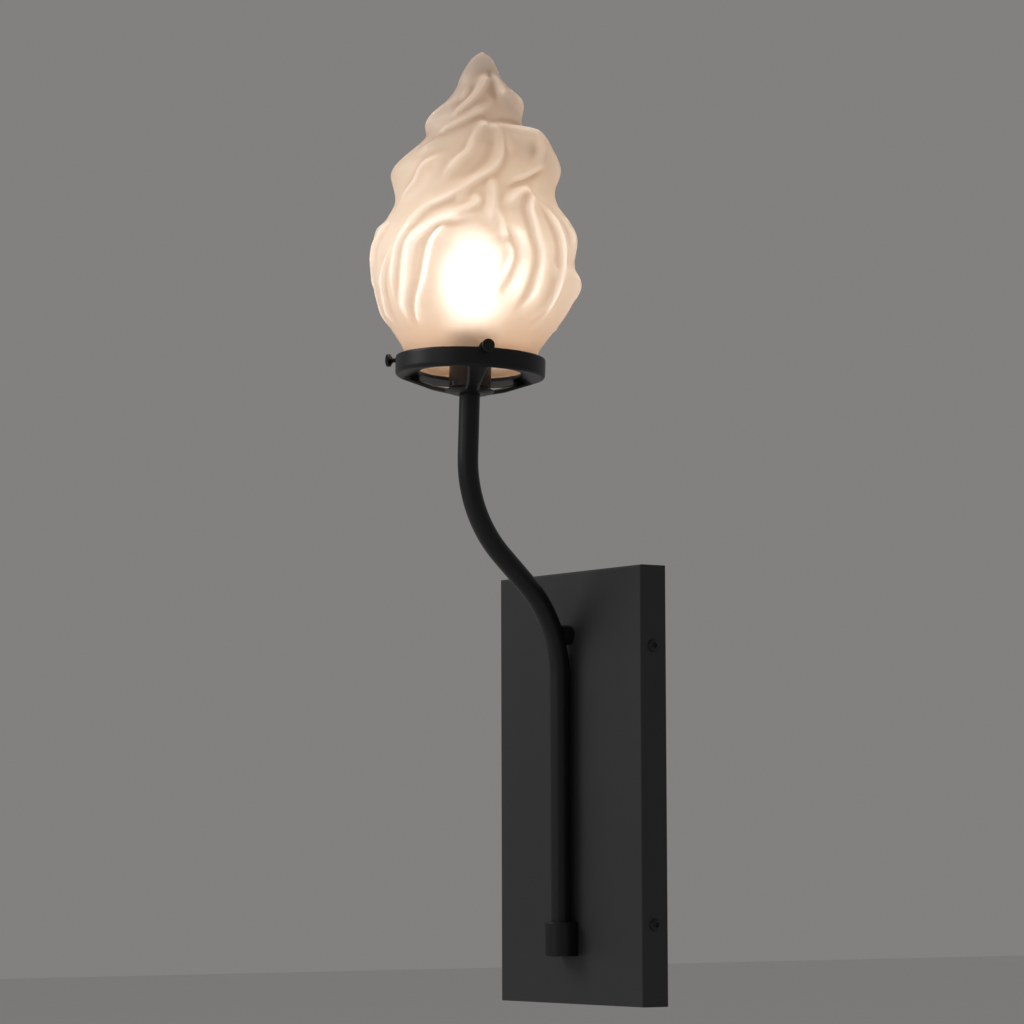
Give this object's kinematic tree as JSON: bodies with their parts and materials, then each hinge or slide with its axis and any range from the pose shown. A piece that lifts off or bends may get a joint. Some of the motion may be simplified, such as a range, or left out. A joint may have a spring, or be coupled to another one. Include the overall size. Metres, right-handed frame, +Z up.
{
  "type": "wall sconce with glass flame shade",
  "caption": "Swan-neck torch wall light: flat wall cover with bracket inside, bent tube arm, shade gallery with thumbscrews, ball lamp and moulded glass flame shade.",
  "frame": {"origin": "middle of the bracket's four fixing slots, on the wall plane", "axes": "+X right as seen from the room, +Y into the wall, +Z up"},
  "size_m": [0.1522, 0.1558, 0.5861],
  "materials": {
    "satin_charcoal": "satin charcoal powder coat",
    "satin_black": "satin black paint",
    "black_screw": "black oxide button head",
    "zinc_steel": "zinc-plated steel",
    "brass": "turned brass",
    "nickel_cap": "plated lamp cap",
    "black_rubber": "moulded rubber",
    "white_ceramic": "glazed insulator",
    "white_nylon": "nylon tip",
    "brown_phenolic": "moulded phenolic",
    "black_vitrite": "black glass insulator",
    "green_insulation": "green and yellow insulation",
    "brown_insulation": "brown insulation",
    "blue_insulation": "blue insulation",
    "frosted_glass": "pressed glass, frosted inside, warm",
    "opal_glass": "opal lamp glass, lit",
    "clear_glass": "clear lamp stem",
    "filament_phosphor": "yellow phosphor strip"
  },
  "bodies": {
    "root": {"cover_box": "satin_charcoal", "wall_bracket": "zinc_steel", "side_screws": "black_screw", "cable_grommet": "black_rubber", "terminal_block": "white_ceramic", "terminal_sleeves": "brass", "terminal_screws": "zinc_steel", "terminal_fixing_screw": "zinc_steel", "earth_screw": "brass", "earth_tag": "brass", "earth_wire": "green_insulation", "arm_tube": "satin_black", "end_block": "satin_black", "entry_nipple": "brass", "entry_washer": "zinc_steel", "entry_nut": "brass", "standoff": "satin_black", "standoff_screw": "zinc_steel", "standoff_washer": "zinc_steel", "live_wire": "brown_insulation", "neutral_wire": "blue_insulation", "gallery": "satin_black", "hub_nipple": "brass", "holder_cap": "brown_phenolic", "holder_grub_screw": "zinc_steel", "holder_insert": "white_ceramic", "holder_contacts": "brass", "holder_terminals": "brass", "holder_thread_shell": "brass", "holder_skirt": "brown_phenolic"},
    "shade": {"glass_shade": "frosted_glass"},
    "lamp_foot": {"lamp_contact": "nickel_cap"},
    "lamp": {"lamp_cap": "nickel_cap", "lamp_insulator": "black_vitrite", "lamp_glass": "opal_glass", "lamp_stem": "clear_glass", "lamp_filaments": "filament_phosphor"},
    "screw_tip_front": {"screw_tip_front": "white_nylon"},
    "thumbscrew_front": {"thumbscrew_front": "satin_black"},
    "screw_tip_left": {"screw_tip_left": "white_nylon"},
    "thumbscrew_left": {"thumbscrew_left": "satin_black"},
    "screw_tip_rear": {"screw_tip_rear": "white_nylon"},
    "thumbscrew_rear": {"thumbscrew_rear": "satin_black"}
  },
  "joints": [
    {"name": "shade_lift", "type": "slide", "parent": "root", "child": "shade", "axis": [0, 0.0349, 0.9994], "range_m": [0, 0.14]},
    {"name": "front_screw_travel", "type": "slide", "parent": "root", "child": "screw_tip_front", "axis": [0.9205, -0.3905, 0.0136], "range_m": [0, 0.0025]},
    {"name": "front_screw_turn", "type": "hinge", "parent": "screw_tip_front", "child": "thumbscrew_front", "pos_m": [0.04234, -0.11021, 0.26203], "axis": [0.9205, -0.3905, 0.0136], "range_deg": [0, 1800]},
    {"name": "left_screw_travel", "type": "slide", "parent": "root", "child": "screw_tip_left", "axis": [-0.7986, -0.6014, 0.021], "range_m": [0, 0.0025]},
    {"name": "left_screw_turn", "type": "hinge", "parent": "screw_tip_left", "child": "thumbscrew_left", "pos_m": [-0.03674, -0.11991, 0.26237], "axis": [-0.7986, -0.6014, 0.021], "range_deg": [0, 1800]},
    {"name": "rear_screw_travel", "type": "slide", "parent": "root", "child": "screw_tip_rear", "axis": [-0.1219, 0.9919, -0.0346], "range_m": [0, 0.0025]},
    {"name": "rear_screw_turn", "type": "hinge", "parent": "screw_tip_rear", "child": "thumbscrew_rear", "pos_m": [-0.00561, -0.04662, 0.25981], "axis": [-0.1219, 0.9919, -0.0346], "range_deg": [0, 1800]},
    {"name": "lamp_travel", "type": "slide", "parent": "root", "child": "lamp_foot", "axis": [0, 0.0349, 0.9994], "range_m": [0, 0.00988]},
    {"name": "lamp_turn", "type": "hinge", "parent": "lamp_foot", "child": "lamp", "pos_m": [0, -0.09196, 0.2695], "axis": [0, 0.0349, 0.9994], "range_deg": [0, 1260]}
  ],
  "couplings": [
    {"joint": "front_screw_turn", "follows": "front_screw_travel", "rad_per_m": 12566},
    {"joint": "left_screw_turn", "follows": "left_screw_travel", "rad_per_m": 12566},
    {"joint": "rear_screw_turn", "follows": "rear_screw_travel", "rad_per_m": 12566},
    {"joint": "lamp_travel", "follows": "lamp_turn", "m_per_rad": 0.00044914}
  ]
}
